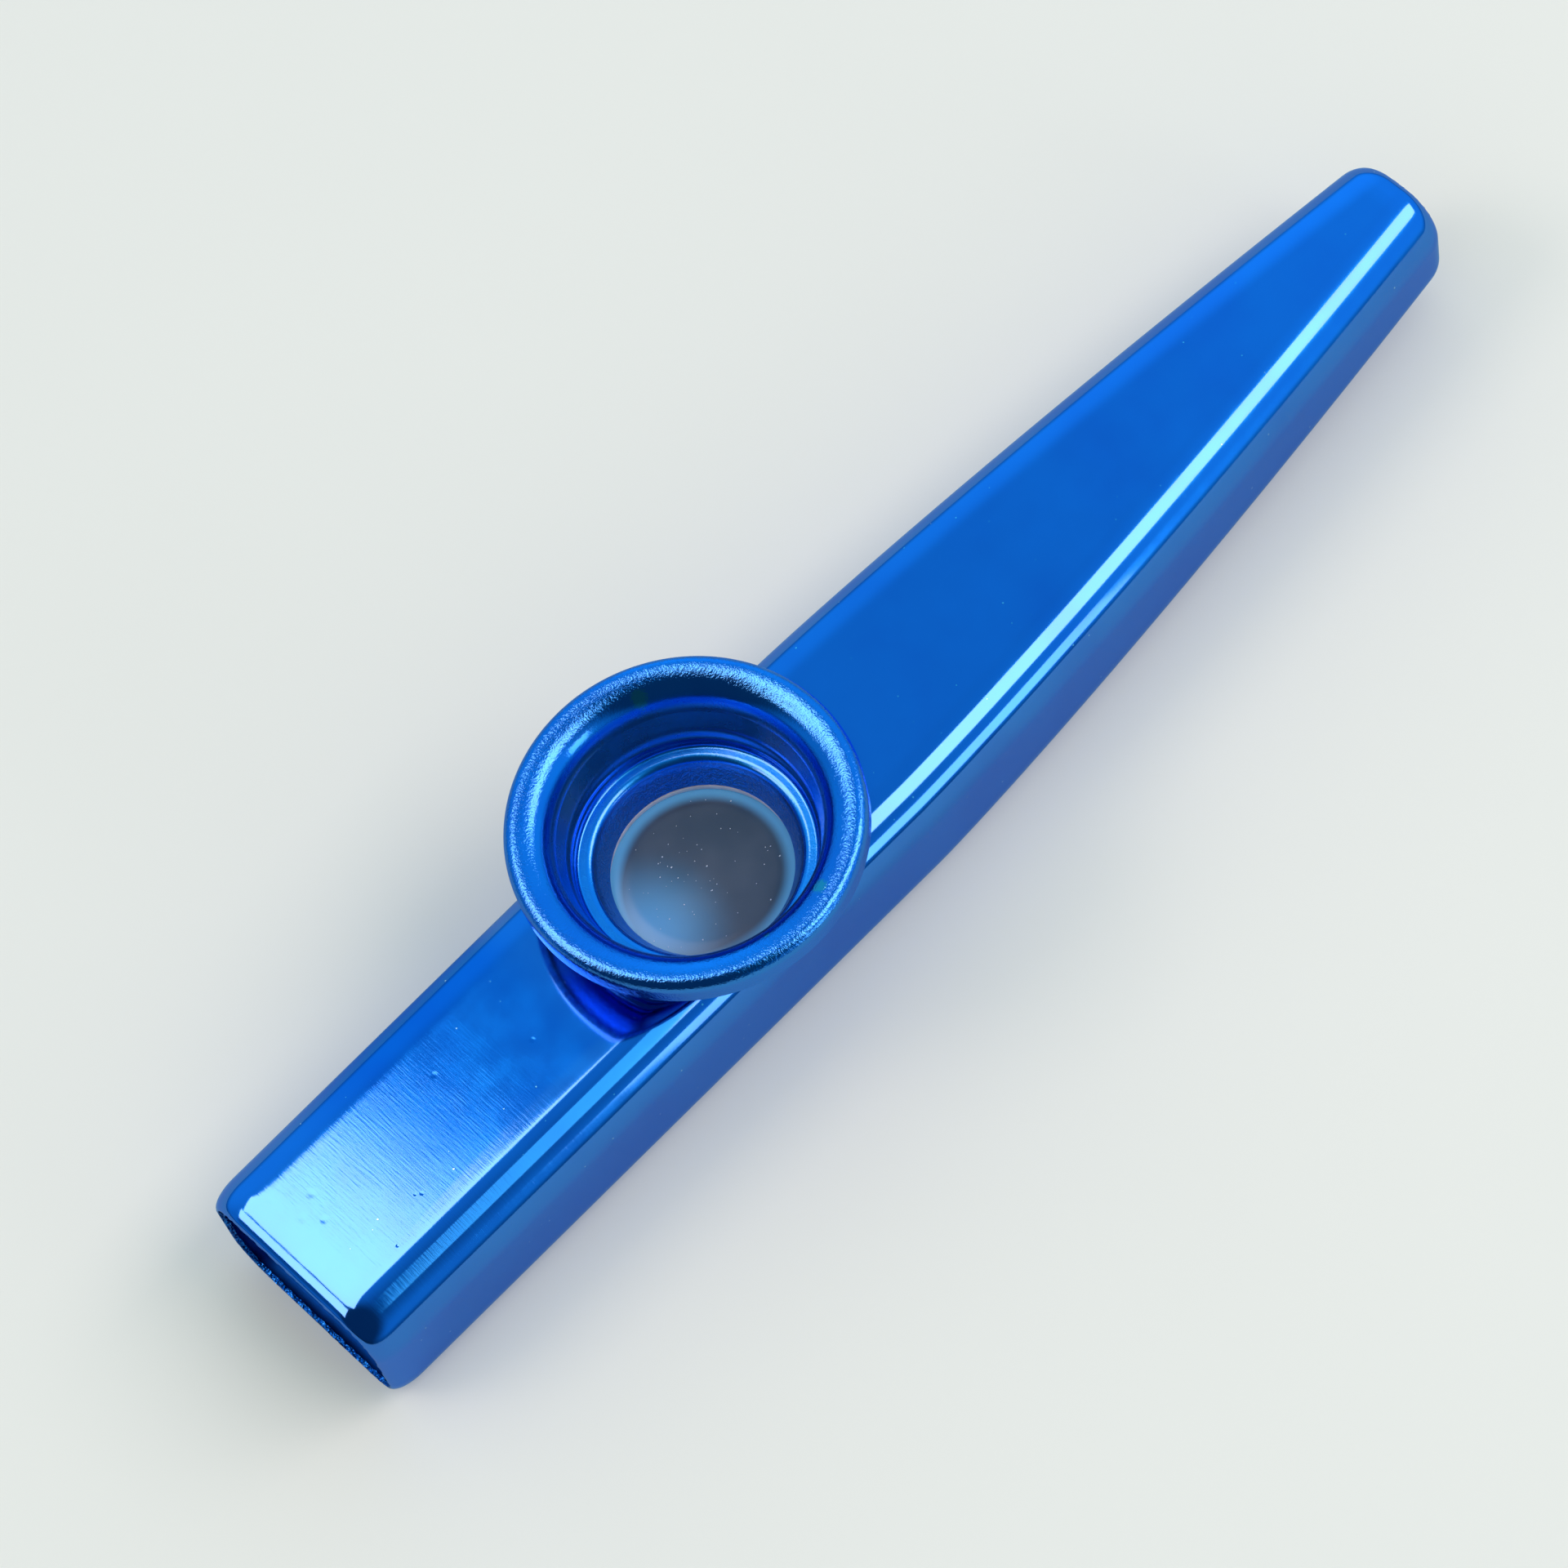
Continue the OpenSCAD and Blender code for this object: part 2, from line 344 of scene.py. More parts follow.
# %% [markdown]
# Finish: the cap's grained metal
#
# The flare of the cap was stretched hard when it was spun, so its surface is grained
# like orange peel, while the neck below it is smooth and satin. Masks from the height and
# the distance to the turret's axis put the grain on the lip, the skirt and the nose, and
# the satin and a thin lacquer on the neck. Three small spots of the lip are worn
# greenish. Painting by hand could do the same, but masks need no picture.

# %% Places on the cap: height and distance to the turret's axis
cap_metal, tree, shader = new_material("grained blue cap")
dye = add(tree, "ShaderNodeGroup", node_tree=shade_group)
dye.inputs["Shade"].default_value = (0.006, 0.285, 0.800, 1)
dye.inputs["Deep shade"].default_value = (0.005, 0.225, 0.740, 1)
dye.inputs["Roughness"].default_value = 0.12
spot = add(tree, "ShaderNodeTexCoord")
centred = add(tree, "ShaderNodeMapping",
              {"Vector": (spot, "Object"), "Location": (-turret_x * MM, 0, 0)})
place = add(tree, "ShaderNodeSeparateXYZ", {"Vector": (centred, "Vector")})
flat = add(tree, "ShaderNodeCombineXYZ", {"X": (place, "X"), "Y": (place, "Y")})
radius = add(tree, "ShaderNodeVectorMath", {0: (flat, "Vector")}, operation="LENGTH")
print("material:", cap_metal.name)

# %% The cap's relief: grain on the lip, the skirt and the nose, and slow waves
on_lip = ramp(tree, (radius, "Value"), 10.7 * MM, 11.6 * MM, 0.15, 1.0)
low_part = ramp(tree, (place, "Z"), 13.7 * MM, 13.1 * MM, 0.0, 2.5)
grained = math_node(tree, "MAXIMUM", (on_lip, "Result"), (low_part, "Result"))
grain = add(tree, "ShaderNodeTexNoise",
            {"Vector": (spot, "Object"), "Scale": 6500.0, "Detail": 2.0, "Roughness": 0.55})
pits = add(tree, "ShaderNodeTexNoise",
           {"Vector": (spot, "Object"), "Scale": 2400.0, "Detail": 1.0})
grain_height = math_node(tree, "MULTIPLY", (grain, "Fac"), 0.030)
pits_height = math_node(tree, "MULTIPLY", (pits, "Fac"), 0.022)
grain_height = math_node(tree, "ADD", (grain_height, "Value"), (pits_height, "Value"))
grain_height = math_node(tree, "MULTIPLY", (grain_height, "Value"), (grained, "Value"))
waves = add(tree, "ShaderNodeTexNoise", {"Vector": (spot, "Object"), "Scale": 200.0, "Detail": 2.0})
waved = math_node(tree, "MULTIPLY", (waves, "Fac"), 0.030)
height = math_node(tree, "ADD", (grain_height, "Value"), (waved, "Value"))
bump = add(tree, "ShaderNodeBump", {"Height": (height, "Value"), "Strength": 1.0, "Distance": MM})
print("relief of the cap ready")

# %% Worn spots on the cap's lip, as (x, y, size) in millimetres
SPOTS = [(-12.4, 9.7, 0.75), (-14.4, -11.1, 0.7), (-19.6, -10.8, 0.3)]
worn = None
for x, y, size in SPOTS:
    away = add(tree, "ShaderNodeVectorMath",
               {0: (flat, "Vector"), 1: ((x - turret_x) * MM, y * MM, 0)}, operation="DISTANCE")
    ragged = math_node(tree, "MULTIPLY_ADD", (grain, "Fac"), size * MM)
    ragged.inputs[2].default_value = -size * MM * 0.5
    reach = math_node(tree, "ADD", (away, "Value"), (ragged, "Value"))
    one = ramp(tree, (reach, "Value"), size * MM * 0.5, size * MM, 1.0, 0.0)
    worn = one if worn is None else math_node(tree, "MAXIMUM", (worn, 0), (one, 0))
high_up = ramp(tree, (place, "Z"), 18.5 * MM, 18.9 * MM, 0.0, 0.75)
worn = math_node(tree, "MULTIPLY", (worn, "Value"), (high_up, "Result"))
colour = mix_colour(tree, (worn, "Value"), (dye, "Color"), (0.16, 0.50, 0.42, 1))
tree.links.new(colour.outputs[2], shader.inputs["Base Color"])
print("worn spots:", len(SPOTS))

# %% The cap's satin neck, and its lacquer
neck_satin = ramp(tree, (radius, "Value"), 10.8 * MM, 10.2 * MM, 1.0, 2.2)
nose_satin = ramp(tree, (place, "Z"), 13.9 * MM, 13.2 * MM, 1.0, 1.2)
satin = math_node(tree, "MULTIPLY", (neck_satin, "Result"), (nose_satin, "Result"))
rough = math_node(tree, "MULTIPLY", (dye, "Roughness"), (satin, "Value"))
tree.links.new(rough.outputs[0], shader.inputs["Roughness"])
beside_neck = ramp(tree, (radius, "Value"), 10.3 * MM, 10.9 * MM, 0.20, 0.48)
below_neck = ramp(tree, (place, "Z"), 14.6 * MM, 14.0 * MM, 0.20, 0.58)
lacquer = math_node(tree, "MAXIMUM", (beside_neck, "Result"), (below_neck, "Result"))
dyed_metal(tree, shader, bump, lacquer, 0.11)
print("lacquer of the cap ready")

# %% [markdown]
# Finish: the sawn edge
#
# Where the sheet was cut, at the mouth, the narrow end and the cap's window, the edge
# was left rough before it was dyed. It sparkles: tiny facets face every way. A fine,
# strong bump on the same blue does that.

# %% Sawn edge material
edge_metal, tree, shader = new_material("sawn blue edge")
spot = add(tree, "ShaderNodeTexCoord")
chips = add(tree, "ShaderNodeTexVoronoi", {"Vector": (spot, "Object"), "Scale": 4200.0},
            feature="F1")
grit = add(tree, "ShaderNodeTexNoise", {"Vector": (spot, "Object"), "Scale": 2600.0, "Detail": 4.0})
rough_height = math_node(tree, "ADD", (chips, "Distance"), (grit, "Fac"))
bump = add(tree, "ShaderNodeBump",
           {"Height": (rough_height, "Value"), "Strength": 1.0, "Distance": 0.11 * MM})
share = ramp(tree, (grit, "Fac"), 0.35, 0.65)
colour = mix_colour(tree, (share, "Result"), (0.004, 0.10, 0.45, 1), (0.03, 0.30, 0.9, 1))
tree.links.new(colour.outputs[2], shader.inputs["Base Color"])
tree.links.new(bump.outputs["Normal"], shader.inputs["Normal"])
shader.inputs["Metallic"].default_value = 1.0
shader.inputs["Roughness"].default_value = 0.28
print("material:", edge_metal.name)

# %% [markdown]
# Finish: the inside of the tube
#
# Nobody polishes the inside. The same blue is dull there, so the light that falls through
# the membrane spreads to a soft glow on the floor of the chamber.

# %% Dull inner metal
inner_metal, tree, shader = new_material("dull blue inside")
dye = add(tree, "ShaderNodeGroup", node_tree=shade_group)
dye.inputs["Shade"].default_value = (0.010, 0.190, 0.760, 1)
dye.inputs["Deep shade"].default_value = (0.008, 0.150, 0.680, 1)
dye.inputs["Roughness"].default_value = 0.4
tree.links.new(dye.outputs["Color"], shader.inputs["Base Color"])
tree.links.new(dye.outputs["Roughness"], shader.inputs["Roughness"])
shader.inputs["Metallic"].default_value = 1.0
print("material:", inner_metal.name)

# %% [markdown]
# Finish: the membrane's film
#
# The membrane is a thin, milky plastic film. A little of the light passes through it.
# Its rim lies on the blue gasket. Two masks, from the distance to its middle and to its mouth side,
# mix blue into its colour: a painted glow at the rim, where the gasket's blue shows through,
# which fades toward the near side as painted shade, and a painted glow of light on the side toward
# the mouth. Clear plastic would hide painted dust, so the specks on the film are real grains,
# with a matt white finish of their own.

# %% Membrane film material
film_plastic, tree, shader = new_material("milky membrane film")
spot = add(tree, "ShaderNodeTexCoord")
cloud = add(tree, "ShaderNodeTexNoise",
            {"Vector": (spot, "Object"), "Scale": 190.0, "Detail": 2.0})
share = ramp(tree, (cloud, "Fac"), 0.3, 0.7)
grey = mix_colour(tree, (share, "Result"), (0.070, 0.095, 0.140, 1), (0.095, 0.125, 0.175, 1))
flat = add(tree, "ShaderNodeMapping",
           {"Vector": (spot, "Object"), "Location": (-turret_x * MM, 0, 0), "Scale": (1, 1, 0)})
from_middle = add(tree, "ShaderNodeVectorMath", {0: (flat, "Vector")}, operation="LENGTH")
# painted glow: the gasket's blue at the film's rim, standing in for light passing through the film
painted_rim_glow = ramp(tree, (from_middle, "Value"), 5.7 * MM, 6.7 * MM)
place = add(tree, "ShaderNodeSeparateXYZ", {"Vector": (flat, "Vector")})
# the rim's painted glow fades toward the near side: painted shade
toward_near = math_node(tree, "ADD", (place, "X"), (place, "Y"))
kept = ramp(tree, (toward_near, "Value"), -9.0 * MM, -5.0 * MM, 0.5, 1.0)
painted_rim_glow = math_node(tree, "MULTIPLY", (painted_rim_glow, "Result"), (kept, "Result"))
# painted glow: a soft blob of blue light painted on the film's mouth side
from_mouth = add(tree, "ShaderNodeVectorMath",
                 {0: (flat, "Vector"), 1: (-6.6 * MM, -0.4 * MM, 0)}, operation="DISTANCE")
painted_glow = ramp(tree, (from_mouth, "Value"), 0.5 * MM, 7.5 * MM, 0.9, 0.0)
painted_glow = math_node(tree, "MAXIMUM", (painted_glow, "Result"), (painted_rim_glow, "Value"))
# both painted glows mix blue into the film's own grey
colour = mix_colour(tree, (painted_glow, "Value"), (grey, 2), (0.18, 0.60, 1.0, 1))
tree.links.new(colour.outputs[2], shader.inputs["Base Color"])
rough = ramp(tree, (cloud, "Fac"), 0.2, 0.8, 0.18, 0.26)
tree.links.new(rough.outputs[0], shader.inputs["Roughness"])
shader.inputs["Transmission Weight"].default_value = 0.2
shader.inputs["IOR"].default_value = 1.5
print("material:", film_plastic.name)

# %% Dust grain material
grain_white, tree, shader = new_material("dust grains")
spot = add(tree, "ShaderNodeTexCoord")
cloud = add(tree, "ShaderNodeTexNoise",
            {"Vector": (spot, "Object"), "Scale": 2000.0, "Detail": 1.0})
colour = mix_colour(tree, (cloud, "Fac"), (0.95, 0.97, 1.0, 1), (0.75, 0.82, 0.92, 1))
tree.links.new(colour.outputs[2], shader.inputs["Base Color"])
shader.inputs["Roughness"].default_value = 0.8
print("material:", grain_white.name)

# %% [markdown]
# Finishes: the ring's plastic and the gasket's rubber
#
# Both are soft, dull surfaces, mottled by one noise that also varies their roughness and
# raises a faint grain. The ring is off-white. The gasket is blue rubber. One helper makes
# both, because they differ only in their numbers.

# %% Ring plastic and gasket rubber
def dull_material(name, light, dark, roughness, scale, depth):
    material, tree, shader = new_material(name)
    spot = add(tree, "ShaderNodeTexCoord")
    grain = add(tree, "ShaderNodeTexNoise",
                {"Vector": (spot, "Object"), "Scale": scale, "Detail": 5.0})
    share = ramp(tree, (grain, "Fac"), 0.3, 0.7)
    colour = mix_colour(tree, (share, "Result"), light, dark)
    rough = ramp(tree, (grain, "Fac"), 0.2, 0.8, roughness * 0.85, roughness * 1.15)
    bump = add(tree, "ShaderNodeBump",
               {"Height": (grain, "Fac"), "Strength": 1.0, "Distance": depth * MM})
    tree.links.new(colour.outputs[2], shader.inputs["Base Color"])
    tree.links.new(rough.outputs[0], shader.inputs["Roughness"])
    tree.links.new(bump.outputs["Normal"], shader.inputs["Normal"])
    print("material:", name)
    return material


ring_plastic = dull_material("off-white ring plastic", (0.74, 0.70, 0.72, 1),
                             (0.62, 0.58, 0.61, 1), 0.42, 900.0, 0.01)
gasket_rubber = dull_material("blue gasket rubber", (0.24, 0.64, 1.0, 1),
                              (0.17, 0.54, 0.95, 1), 0.45, 1800.0, 0.02)

# %% [markdown]
# The tube
#
# The real tube is one drawn sheet: flat and wide at the mouth, with rounded corners, and
# narrow at the far end. It could be lofted through a list of sections. Here it starts as
# one square face. A vertex bevel rounds its corners, and its edges are extruded along x
# as a straight bar. Insets of the end faces turn the lips in, and a Solidify modifier
# gives the sheet its wall. Only then is the bar tapered, as one smooth pull on its
# sides and floor, so that the wall and the lips follow. Last, the cut edges are
# roughened and the turret's hole is drilled.

# %% Section of the bar: a rounded rectangle with cut-up sides
def rounded_section():
    bm = bmesh.new()
    upright = Matrix.Rotation(math.radians(90), 4, "Y")
    bmesh.ops.create_grid(bm, x_segments=1, y_segments=1, size=0.5, matrix=upright)
    bmesh.ops.scale(bm, verts=bm.verts, vec=(1, mouth_width, tube_height))
    bmesh.ops.bevel(bm, geom=bm.verts[:], offset=corner_radius, offset_type="OFFSET",
                    segments=section_corner_steps, profile=0.5, affect="VERTICES", material=-1,
                    clamp_overlap=False)
    sides = [e for e in bm.edges if e.calc_length() > corner_radius / 2]
    bmesh.ops.subdivide_edges(bm, edges=sides, cuts=section_side_cuts)
    bmesh.ops.translate(bm, verts=bm.verts, vec=(bar_start, 0, tube_height / 2))
    return bm


# %% Extrude the section along x
def stretch_bar(bm, stations):
    bmesh.ops.delete(bm, geom=bm.faces[:], context="FACES_ONLY")
    loop = bm.edges[:]
    x = bar_start
    for station in stations:
        grown = bmesh.ops.extrude_edge_only(bm, edges=loop)["geom"]
        loop = [g for g in grown if isinstance(g, bmesh.types.BMEdge)]
        moved = list({v for e in loop for v in e.verts})
        bmesh.ops.translate(bm, verts=moved, vec=(station - x, 0, 0))
        x = station


# %% Turn a lip in with insets that follow a quarter of an ellipse
def turn_lip(bm, edge_x, length, depth, steps=9):
    rim = [e for e in bm.edges
           if e.is_boundary and all(abs(v.co.x - edge_x) < 1e-4 for v in e.verts)]
    end = bmesh.ops.contextual_create(bm, geom=rim)["faces"]
    bmesh.ops.recalc_face_normals(bm, faces=bm.faces[:])
    for i in range(1, steps + 1):
        a, b = math.radians(90 * (i - 1) / steps), math.radians(90 * i / steps)
        inward = depth * (math.cos(a) - math.cos(b))
        outward = length * (math.sin(b) - math.sin(a))
        bmesh.ops.inset_individual(bm, faces=end, thickness=inward, depth=outward,
                                   use_even_offset=True)
    bmesh.ops.delete(bm, geom=end, context="FACES_ONLY")


# %% Thin the wall toward the mouth's lip
def thin_lip(bm, length, share):
    weights = bm.verts.layers.deform.verify()
    for v in bm.verts:
        near = max(0.0, 1 - (v.co.x + half_length) / length)
        v[weights][0] = 1 - (1 - share) * near


# %% Pull the straight bar into its taper
def taper_share(x):
    return max(0.0, (x - taper_start) / taper_length) ** taper_power


def side_pull(x):
    if x < taper_start:
        return (tube_width - mouth_width) / 2 * (x + half_length) / (taper_start + half_length)
    return (tube_width - mouth_width) / 2 + (end_width - tube_width) / 2 * taper_share(x)


def pull_taper(bm):
    flat_half = mouth_width / 2 - corner_radius
    flat_height = tube_height - 2 * corner_radius
    for v in bm.verts:
        reach = max(-1.0, min(1.0, v.co.y / flat_half))
        drop = max(0.0, min(1.0, (tube_height - corner_radius - v.co.z) / flat_height))
        v.co.y += side_pull(v.co.x) * reach
        v.co.z += end_floor * taper_share(v.co.x) * drop


# %% Cut the turret's hole through the top of the tube
def cut_hole(bm, radius):
    drill = bmesh.new()
    bmesh.ops.create_cone(drill, cap_ends=True, segments=192, radius1=radius, radius2=radius,
                          depth=tube_height, matrix=Matrix.Translation((turret_x, 0, tube_height)))
    drill_mesh = bpy.data.meshes.new("drill")
    drill.to_mesh(drill_mesh)
    drill.free()
    cutter = bpy.data.objects.new("drill", drill_mesh)
    bpy.context.scene.collection.objects.link(cutter)
    result = with_modifier(bm, "BOOLEAN", object=cutter, operation="DIFFERENCE",
                           solver="EXACT")
    bpy.data.objects.remove(cutter)
    bpy.data.meshes.remove(drill_mesh)
    return result


# %% Build the tube
stations = [bar_start + (taper_start - bar_start) * i / steps_straight
            for i in range(1, steps_straight + 1)]
stations += [taper_start + (bar_end - taper_start) * i / steps_taper
             for i in range(1, steps_taper + 1)]
tube = rounded_section()
stretch_bar(tube, stations)
turn_lip(tube, bar_start, mouth_curl_length, mouth_curl)
turn_lip(tube, bar_end, end_curl_length, end_curl)
thin_lip(tube, thinned_length, thinned_share)
tube = with_modifier(tube, "SOLIDIFY", thickness=tube_wall, offset=-1.0, use_even_offset=True,
                     vertex_group="wall", material_offset=2, material_offset_rim=1)
pull_taper(tube)
print("tube shell:", len(tube.faces), "faces")

# %% Roughen the cut lips and open the hole
chance = random.Random(7)
for v in tube.verts:
    if any(f.material_index == 1 for f in v.link_faces):
        v.co += Vector((chance.uniform(0.0, 0.09), chance.uniform(-0.05, 0.05),
                        chance.uniform(-0.05, 0.05)))
tube = cut_hole(tube, hole_radius)
tube_piece = finish_piece(tube, "drawn_tube", "tube", "body_tube",
                          [tube_metal, edge_metal, inner_metal])
tube_piece.data.set_sharp_from_angle(angle=math.radians(40))

# %% [markdown]
# Turned sheet: the cap and the socket
#
# Both were spun from sheet, so each is one middle line that is spun about the turret's
# axis and then given its wall. Arcs make the bends. The screw thread is a slight ripple
# that climbs as it goes round: after the spin, each point of the neck moves out or in by
# a wave of its height and its angle.

# %% Points of an arc, and a spun sheet
def arc(centre, radius_x, radius_z, start, end, steps):
    angles = [math.radians(start + (end - start) * i / steps) for i in range(steps + 1)]
    return [(centre[0] + radius_x * math.cos(a), centre[1] + radius_z * math.sin(a))
            for a in angles]


def between(first, second, steps):
    return [(first[0] + (second[0] - first[0]) * i / steps,
             first[1] + (second[1] - first[1]) * i / steps) for i in range(1, steps)]


def spin_line(points, steps=256):
    bm = bmesh.new()
    verts = [bm.verts.new((turret_x + r, 0, z)) for r, z in points]
    edges = [bm.edges.new(pair) for pair in zip(verts, verts[1:])]
    bmesh.ops.spin(bm, geom=verts + edges, cent=(turret_x, 0, 0), axis=(0, 0, 1), angle=math.tau,
                   steps=steps, use_merge=True, use_duplicate=False)
    bmesh.ops.remove_doubles(bm, verts=bm.verts, dist=1e-4)
    bmesh.ops.recalc_face_normals(bm, faces=bm.faces)
    return bm


def ripple(bm, low, high, fade_low, fade_high, size, pitch, turn=0.0):
    for v in bm.verts:
        if low < v.co.z < high:
            out = Vector((v.co.x - turret_x, v.co.y, 0))
            strength = min(1.0, (v.co.z - low) / fade_low, (high - v.co.z) / fade_high)
            wave = math.cos(math.tau * (v.co.z / pitch - turn) - math.atan2(out.y, out.x))
            v.co += out.normalized() * size * strength * wave


# %% The cap's line, as (radius, z): skirt, flared lip, neck, shoulder and nose
cap_wall = 0.45
roll = 0.65  # radius of the rolled rim
skirt_r, skirt_depth = rim_radius - cap_wall / 2, 1.3
lip_r, lip_z = skirt_r - roll, rim_top - cap_wall / 2
throat = (10.145, 18.05)
bend = 0.5  # radius of the bends above and below the shoulder
shoulder_top = (9.275, 14.325)
nose_top = (8.425, shoulder_top[1] - 2 * bend)
nose_foot = (7.125, 11.54)
cap_line = [(skirt_r, lip_z - roll - skirt_depth), (skirt_r, lip_z - roll - skirt_depth / 2)]
cap_line += arc((lip_r, lip_z - roll), roll, roll, 0, 90, 10)
cap_line += arc((lip_r, throat[1]), lip_r - throat[0], lip_z - throat[1], 96, 180, 22)
cap_line += between(throat, shoulder_top, 44)
cap_line += arc((shoulder_top[0] - bend, shoulder_top[1]), bend, bend, 0, -90, 8)
cap_line += arc(nose_top, bend, bend, 90, 165, 8)
cap_line += between(cap_line[-1], nose_foot, 8) + [nose_foot]
print("cap line:", len(cap_line), "points")

# %% Spin the cap, roll its thread and roughen the window's edge
thread_pitch = 1.7
punched_below = 11.8  # the edges lower than this are the window's
cap = spin_line(cap_line)
ripple(cap, low=14.5, high=16.3, fade_low=0.4, fade_high=1.1, size=0.09,
       pitch=thread_pitch, turn=0.25)
cap = with_modifier(cap, "SOLIDIFY", thickness=cap_wall, offset=0.0, use_even_offset=True,
                    material_offset_rim=1)
for v in cap.verts:
    if v.co.z < punched_below and any(f.material_index == 1 for f in v.link_faces):
        v.co.z += chance.uniform(-0.02, 0.03)
cap_piece = finish_piece(cap, "flared_cap", "cap", "screw_cap",
                         [cap_metal, edge_metal])
cap_piece.data.set_sharp_from_angle(angle=math.radians(50))

# %% The socket: threaded collar, foot, and the well with the membrane's ledge
socket_wall = 0.4
gasket_height = 0.3
bore, collar, ledge_hole = 8.6, 10.85, 6.4  # radii
collar_top = 18.3
foot_bend, bore_bend, ledge_bend = 1.4, 0.15, 0.12
foot_z = tube_height + socket_wall / 2
ledge_z = film_low.z / MM - gasket_height - socket_wall / 2
socket_line = [(collar, collar_top)]
socket_line += between((collar, collar_top), (collar, foot_z + foot_bend), 44)
socket_line += arc((collar - foot_bend, foot_z + foot_bend), foot_bend, foot_bend, 0, -90, 12)
socket_line += arc((bore + bore_bend, foot_z - bore_bend), bore_bend, bore_bend, 90, 180, 4)
socket_line += between(socket_line[-1], (bore, ledge_z + ledge_bend), 10)
socket_line += arc((bore - ledge_bend, ledge_z + ledge_bend), ledge_bend, ledge_bend, 0, -90, 4)
socket_line += [(bore - 0.9, ledge_z), (ledge_hole, ledge_z)]
socket = spin_line(socket_line)
ripple(socket, low=14.9, high=18.0, fade_low=0.5, fade_high=0.5, size=0.1,
       pitch=thread_pitch)
socket = with_modifier(socket, "SOLIDIFY", thickness=socket_wall, offset=0.0, use_even_offset=True,
                       material_offset_rim=1)
socket_piece = finish_piece(socket, "threaded_socket", "tube", "turret_socket",
                            [cap_metal, edge_metal])
socket_piece.data.set_sharp_from_angle(angle=math.radians(50))

# %% [markdown]
# The membrane and its ring
#
# The film is stretched over the gasket and swells a little inside its ring, so its edge
# slopes down and mirrors the blue nose of the cap all round. It is a disc, made by
# spinning one line from the centre outward, and tiny grains of dust lie on it. The ring
# is a small turned band with rounded edges, made by spinning a rectangle and bevelling
# its corners. It sits a little off centre, as a loose ring does.

# %% Film
film_base = (film_low.z + film_high.z) / 2 / MM
film_radius, film_wall, film_steps = 8.2, 0.09, 60
swell, swell_foot, swell_slope = 0.10, 7.1, 1.7  # height, outer radius, width of its slope
grain_count, grain_reach, grain_lift = 64, 6.6, 0.05
GRAIN_SIZES = (0.025, 0.03, 0.035, 0.045, 0.06)


def film_height(r):
    t = max(0.0, min(1.0, (swell_foot - r) / swell_slope))
    return film_base + swell * t * t * (3 - 2 * t)


film_radii = [film_radius * i / film_steps for i in range(film_steps + 1)]
film = spin_line([(r, film_height(r)) for r in film_radii])
film = with_modifier(film, "SOLIDIFY", thickness=film_wall, offset=0.0, use_even_offset=True)
for _ in range(grain_count):
    r, turn = grain_reach * math.sqrt(chance.random()), chance.uniform(0, math.tau)
    size = chance.choice(GRAIN_SIZES)
    grain = bmesh.ops.create_icosphere(film, subdivisions=1, radius=size)["verts"]
    bmesh.ops.scale(film, verts=grain, vec=(chance.uniform(0.8, 1.6), 1, 0.6))
    bmesh.ops.translate(film, verts=grain, vec=(turret_x + r * math.cos(turn), r * math.sin(turn),
                                                film_height(r) + grain_lift))
    for face in {f for v in grain for f in v.link_faces}:
        face.material_index = 1
finish_piece(film, "swollen_film", "membrane", "membrane_film",
             [film_plastic, grain_white])

# %% Ring
ring_low, ring_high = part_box("membrane_ring")
outer, inner = (ring_high.y - ring_low.y) / 2 / MM, 7.06
ring_rounding, ring_shift = 0.09, (-0.10, -0.11, 0)
corners = [(outer, ring_low.z / MM), (outer, ring_high.z / MM),
           (inner, ring_high.z / MM), (inner, ring_low.z / MM)]
ring = spin_line(corners + corners[:1], steps=128)
hard = [e for e in ring.edges if e.calc_face_angle(0) > 1.0]
bmesh.ops.bevel(ring, geom=hard, offset=ring_rounding, offset_type="OFFSET", segments=3,
                profile=0.5, affect="EDGES", material=-1)
bmesh.ops.translate(ring, verts=ring.verts, vec=ring_shift)
finish_piece(ring, "clamping_ring", "membrane", "membrane_ring", [ring_plastic])

# %% Gasket: the CAD node stays and gets its rubber
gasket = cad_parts["seat_gasket"]
gasket.data.materials.clear()
gasket.data.materials.append(gasket_rubber)
print("gasket keeps its CAD mesh")

# %% [markdown]
# Floor, lamps and room
#
# The kazoo lies on a pale floor. Polished metal shows its surroundings, so the lamps are
# placed where the metal mirrors them. The far panel's right edge ends the bright patch at
# the mouth, and the edge panel carries it on to the lip. The near panel makes the bright
# line on the near corner, the near end panel continues it faintly to the mouth, and the
# low panel adds the second line. The far panel would cast a hard shadow, so it lights
# only what mirrors it. The room is darker behind the camera and at the horizon, and
# brighter at the right and beyond the tube. Only the camera sees the floor white, and
# only the camera and soft light see the room plain. Everything else sees the floor bluer
# and darker, a painted shade that stands in for its shadow beside the tube, and mirrors
# show the room bluer, so the metal is deep blue over a white floor.

# %% Floor
floor_bm = bmesh.new()
bmesh.ops.create_grid(floor_bm, x_segments=8, y_segments=8, size=1.5)
floor_mesh = bpy.data.meshes.new("pale_floor")
floor_bm.to_mesh(floor_mesh)
floor_bm.free()
floor = bpy.data.objects.new("pale_floor", floor_mesh)
bpy.context.scene.collection.objects.link(floor)
paper, tree, shader = new_material("pale floor")
spot = add(tree, "ShaderNodeTexCoord")
soft = add(tree, "ShaderNodeTexNoise", {"Vector": (spot, "Object"), "Scale": 14.0, "Detail": 2.0})
paper_white = mix_colour(tree, (soft, "Fac"), (0.85, 0.88, 0.86, 1), (0.88, 0.91, 0.89, 1))
seen = add(tree, "ShaderNodeLightPath")
